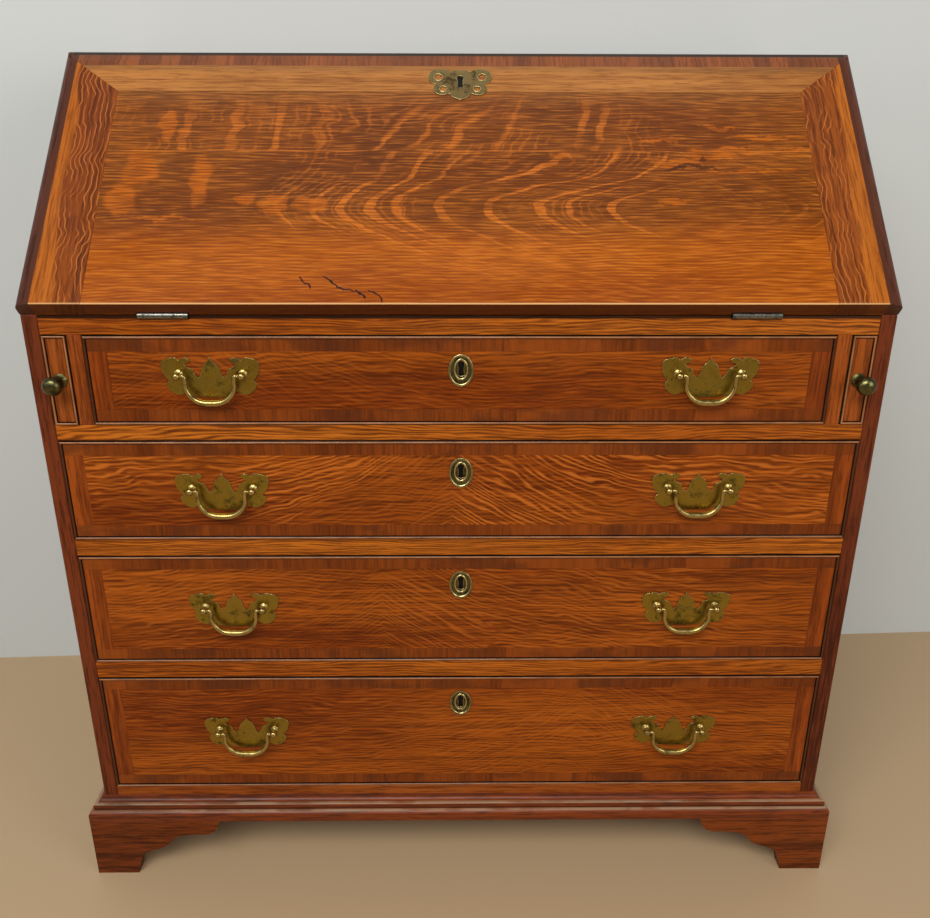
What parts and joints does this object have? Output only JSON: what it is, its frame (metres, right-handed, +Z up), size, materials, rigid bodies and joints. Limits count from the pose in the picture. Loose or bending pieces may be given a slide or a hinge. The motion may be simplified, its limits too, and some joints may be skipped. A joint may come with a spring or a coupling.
{
  "type": "slant-front writing desk",
  "caption": "Oak slant-front writing desk: long drawers with brass bails below a hinged sloping fall that opens onto sliding supports and a fitted interior.",
  "frame": {"origin": "middle of the footprint, on the floor", "axes": "+Z up, -Y out of the drawer fronts, +X to the right of a person facing the front"},
  "size_m": [0.986, 0.53, 1.034],
  "materials": {
    "oak_dark": "old wax polish, dark red-brown",
    "oak_show": "wax polish",
    "oak_fall": "wax polish over quartered figure",
    "oak_drawer": "wax polish, crossbanded",
    "oak_inside": "dry, unpolished",
    "brass": "aged, worn bright on the bails",
    "iron": "dull"
  },
  "bodies": {
    "carcass": {"side_left": "oak_dark", "side_right": "oak_dark", "top_board": "oak_show", "back_boards": "oak_inside", "writing_bed": "oak_show", "drawer_rails": "oak_show", "drawer_runners": "oak_inside", "loper_partitions": "oak_show", "carcass_bottom": "oak_inside", "base_moulding": "oak_dark", "foot_front_left": "oak_dark", "foot_front_right": "oak_dark", "foot_back_left": "oak_dark", "foot_back_right": "oak_dark", "pigeonhole_case": "oak_inside", "pigeonhole_arches": "oak_show", "hinge_bed_leaves": "brass", "hinge_pins": "iron"},
    "fall": {"fall_panel": "oak_fall", "fall_cleat_left": "oak_fall", "fall_cleat_right": "oak_fall", "fall_top_cleat": "oak_fall", "fall_hinge_leaves": "brass", "fall_lock": "iron", "fall_escutcheon": "brass"},
    "fall_bolt": {"fall_lock_bolt": "brass"},
    "drawer_1": {"drawer_1_front": "oak_drawer", "drawer_1_box": "oak_inside", "drawer_1_brass": "brass"},
    "drawer_1_bolt": {"drawer_1_lock_bolt": "brass"},
    "drawer_1_bail_left": {"drawer_1_bail_left": "brass"},
    "drawer_1_bail_right": {"drawer_1_bail_right": "brass"},
    "drawer_2": {"drawer_2_front": "oak_drawer", "drawer_2_box": "oak_inside", "drawer_2_brass": "brass"},
    "drawer_2_bolt": {"drawer_2_lock_bolt": "brass"},
    "drawer_2_bail_left": {"drawer_2_bail_left": "brass"},
    "drawer_2_bail_right": {"drawer_2_bail_right": "brass"},
    "drawer_3": {"drawer_3_front": "oak_drawer", "drawer_3_box": "oak_inside", "drawer_3_brass": "brass"},
    "drawer_3_bolt": {"drawer_3_lock_bolt": "brass"},
    "drawer_3_bail_left": {"drawer_3_bail_left": "brass"},
    "drawer_3_bail_right": {"drawer_3_bail_right": "brass"},
    "drawer_4": {"drawer_4_front": "oak_drawer", "drawer_4_box": "oak_inside", "drawer_4_brass": "brass"},
    "drawer_4_bolt": {"drawer_4_lock_bolt": "brass"},
    "drawer_4_bail_left": {"drawer_4_bail_left": "brass"},
    "drawer_4_bail_right": {"drawer_4_bail_right": "brass"},
    "loper_left": {"loper_left": "oak_show", "loper_left_knob": "brass"},
    "loper_right": {"loper_right": "oak_show", "loper_right_knob": "brass"},
    "small_drawer_1": {"small_drawer_1": "oak_inside"},
    "small_drawer_2": {"small_drawer_2": "oak_inside"},
    "small_drawer_3": {"small_drawer_3": "oak_inside"},
    "small_drawer_4": {"small_drawer_4": "oak_inside"},
    "small_drawer_5": {"small_drawer_5": "oak_inside"}
  },
  "joints": [
    {"name": "fall_hinge", "type": "hinge", "parent": "carcass", "child": "fall", "pos_m": [0, -0.235, 0.767], "axis": [1, 0, 0], "range_deg": [0, 134.5]},
    {"name": "fall_bolt_slide", "type": "slide", "parent": "fall", "child": "fall_bolt", "axis": [0, 0.7009, 0.7133], "range_m": [0, 0.014]},
    {"name": "drawer_1_slide", "type": "slide", "parent": "carcass", "child": "drawer_1", "axis": [0, -1, 0], "range_m": [0, 0.385]},
    {"name": "drawer_1_bolt_slide", "type": "slide", "parent": "drawer_1", "child": "drawer_1_bolt", "axis": [0, 0, 1], "range_m": [0, 0.008]},
    {"name": "drawer_1_bail_left_swing", "type": "hinge", "parent": "drawer_1", "child": "drawer_1_bail_left", "pos_m": [-0.276, -0.246, 0.70205], "axis": [-1, 0, 0], "range_deg": [0, 110]},
    {"name": "drawer_1_bail_right_swing", "type": "hinge", "parent": "drawer_1", "child": "drawer_1_bail_right", "pos_m": [0.276, -0.246, 0.70205], "axis": [-1, 0, 0], "range_deg": [0, 110]},
    {"name": "drawer_2_slide", "type": "slide", "parent": "carcass", "child": "drawer_2", "axis": [0, -1, 0], "range_m": [0, 0.385]},
    {"name": "drawer_2_bolt_slide", "type": "slide", "parent": "drawer_2", "child": "drawer_2_bolt", "axis": [0, 0, 1], "range_m": [0, 0.008]},
    {"name": "drawer_2_bail_left_swing", "type": "hinge", "parent": "drawer_2", "child": "drawer_2_bail_left", "pos_m": [-0.276, -0.246, 0.56405], "axis": [-1, 0, 0], "range_deg": [0, 110]},
    {"name": "drawer_2_bail_right_swing", "type": "hinge", "parent": "drawer_2", "child": "drawer_2_bail_right", "pos_m": [0.276, -0.246, 0.56405], "axis": [-1, 0, 0], "range_deg": [0, 110]},
    {"name": "drawer_3_slide", "type": "slide", "parent": "carcass", "child": "drawer_3", "axis": [0, -1, 0], "range_m": [0, 0.385]},
    {"name": "drawer_3_bolt_slide", "type": "slide", "parent": "drawer_3", "child": "drawer_3_bolt", "axis": [0, 0, 1], "range_m": [0, 0.008]},
    {"name": "drawer_3_bail_left_swing", "type": "hinge", "parent": "drawer_3", "child": "drawer_3_bail_left", "pos_m": [-0.276, -0.246, 0.4065], "axis": [-1, 0, 0], "range_deg": [0, 110]},
    {"name": "drawer_3_bail_right_swing", "type": "hinge", "parent": "drawer_3", "child": "drawer_3_bail_right", "pos_m": [0.276, -0.246, 0.4065], "axis": [-1, 0, 0], "range_deg": [0, 110]},
    {"name": "drawer_4_slide", "type": "slide", "parent": "carcass", "child": "drawer_4", "axis": [0, -1, 0], "range_m": [0, 0.385]},
    {"name": "drawer_4_bolt_slide", "type": "slide", "parent": "drawer_4", "child": "drawer_4_bolt", "axis": [0, 0, 1], "range_m": [0, 0.008]},
    {"name": "drawer_4_bail_left_swing", "type": "hinge", "parent": "drawer_4", "child": "drawer_4_bail_left", "pos_m": [-0.276, -0.246, 0.22395], "axis": [-1, 0, 0], "range_deg": [0, 110]},
    {"name": "drawer_4_bail_right_swing", "type": "hinge", "parent": "drawer_4", "child": "drawer_4_bail_right", "pos_m": [0.276, -0.246, 0.22395], "axis": [-1, 0, 0], "range_deg": [0, 110]},
    {"name": "loper_left_slide", "type": "slide", "parent": "carcass", "child": "loper_left", "axis": [0, -1, 0], "range_m": [0, 0.3]},
    {"name": "loper_right_slide", "type": "slide", "parent": "carcass", "child": "loper_right", "axis": [0, -1, 0], "range_m": [0, 0.3]},
    {"name": "small_drawer_1_slide", "type": "slide", "parent": "carcass", "child": "small_drawer_1", "axis": [0, -1, 0], "range_m": [0, 0.15]},
    {"name": "small_drawer_2_slide", "type": "slide", "parent": "carcass", "child": "small_drawer_2", "axis": [0, -1, 0], "range_m": [0, 0.15]},
    {"name": "small_drawer_3_slide", "type": "slide", "parent": "carcass", "child": "small_drawer_3", "axis": [0, -1, 0], "range_m": [0, 0.15]},
    {"name": "small_drawer_4_slide", "type": "slide", "parent": "carcass", "child": "small_drawer_4", "axis": [0, -1, 0], "range_m": [0, 0.15]},
    {"name": "small_drawer_5_slide", "type": "slide", "parent": "carcass", "child": "small_drawer_5", "axis": [0, -1, 0], "range_m": [0, 0.15]}
  ]
}
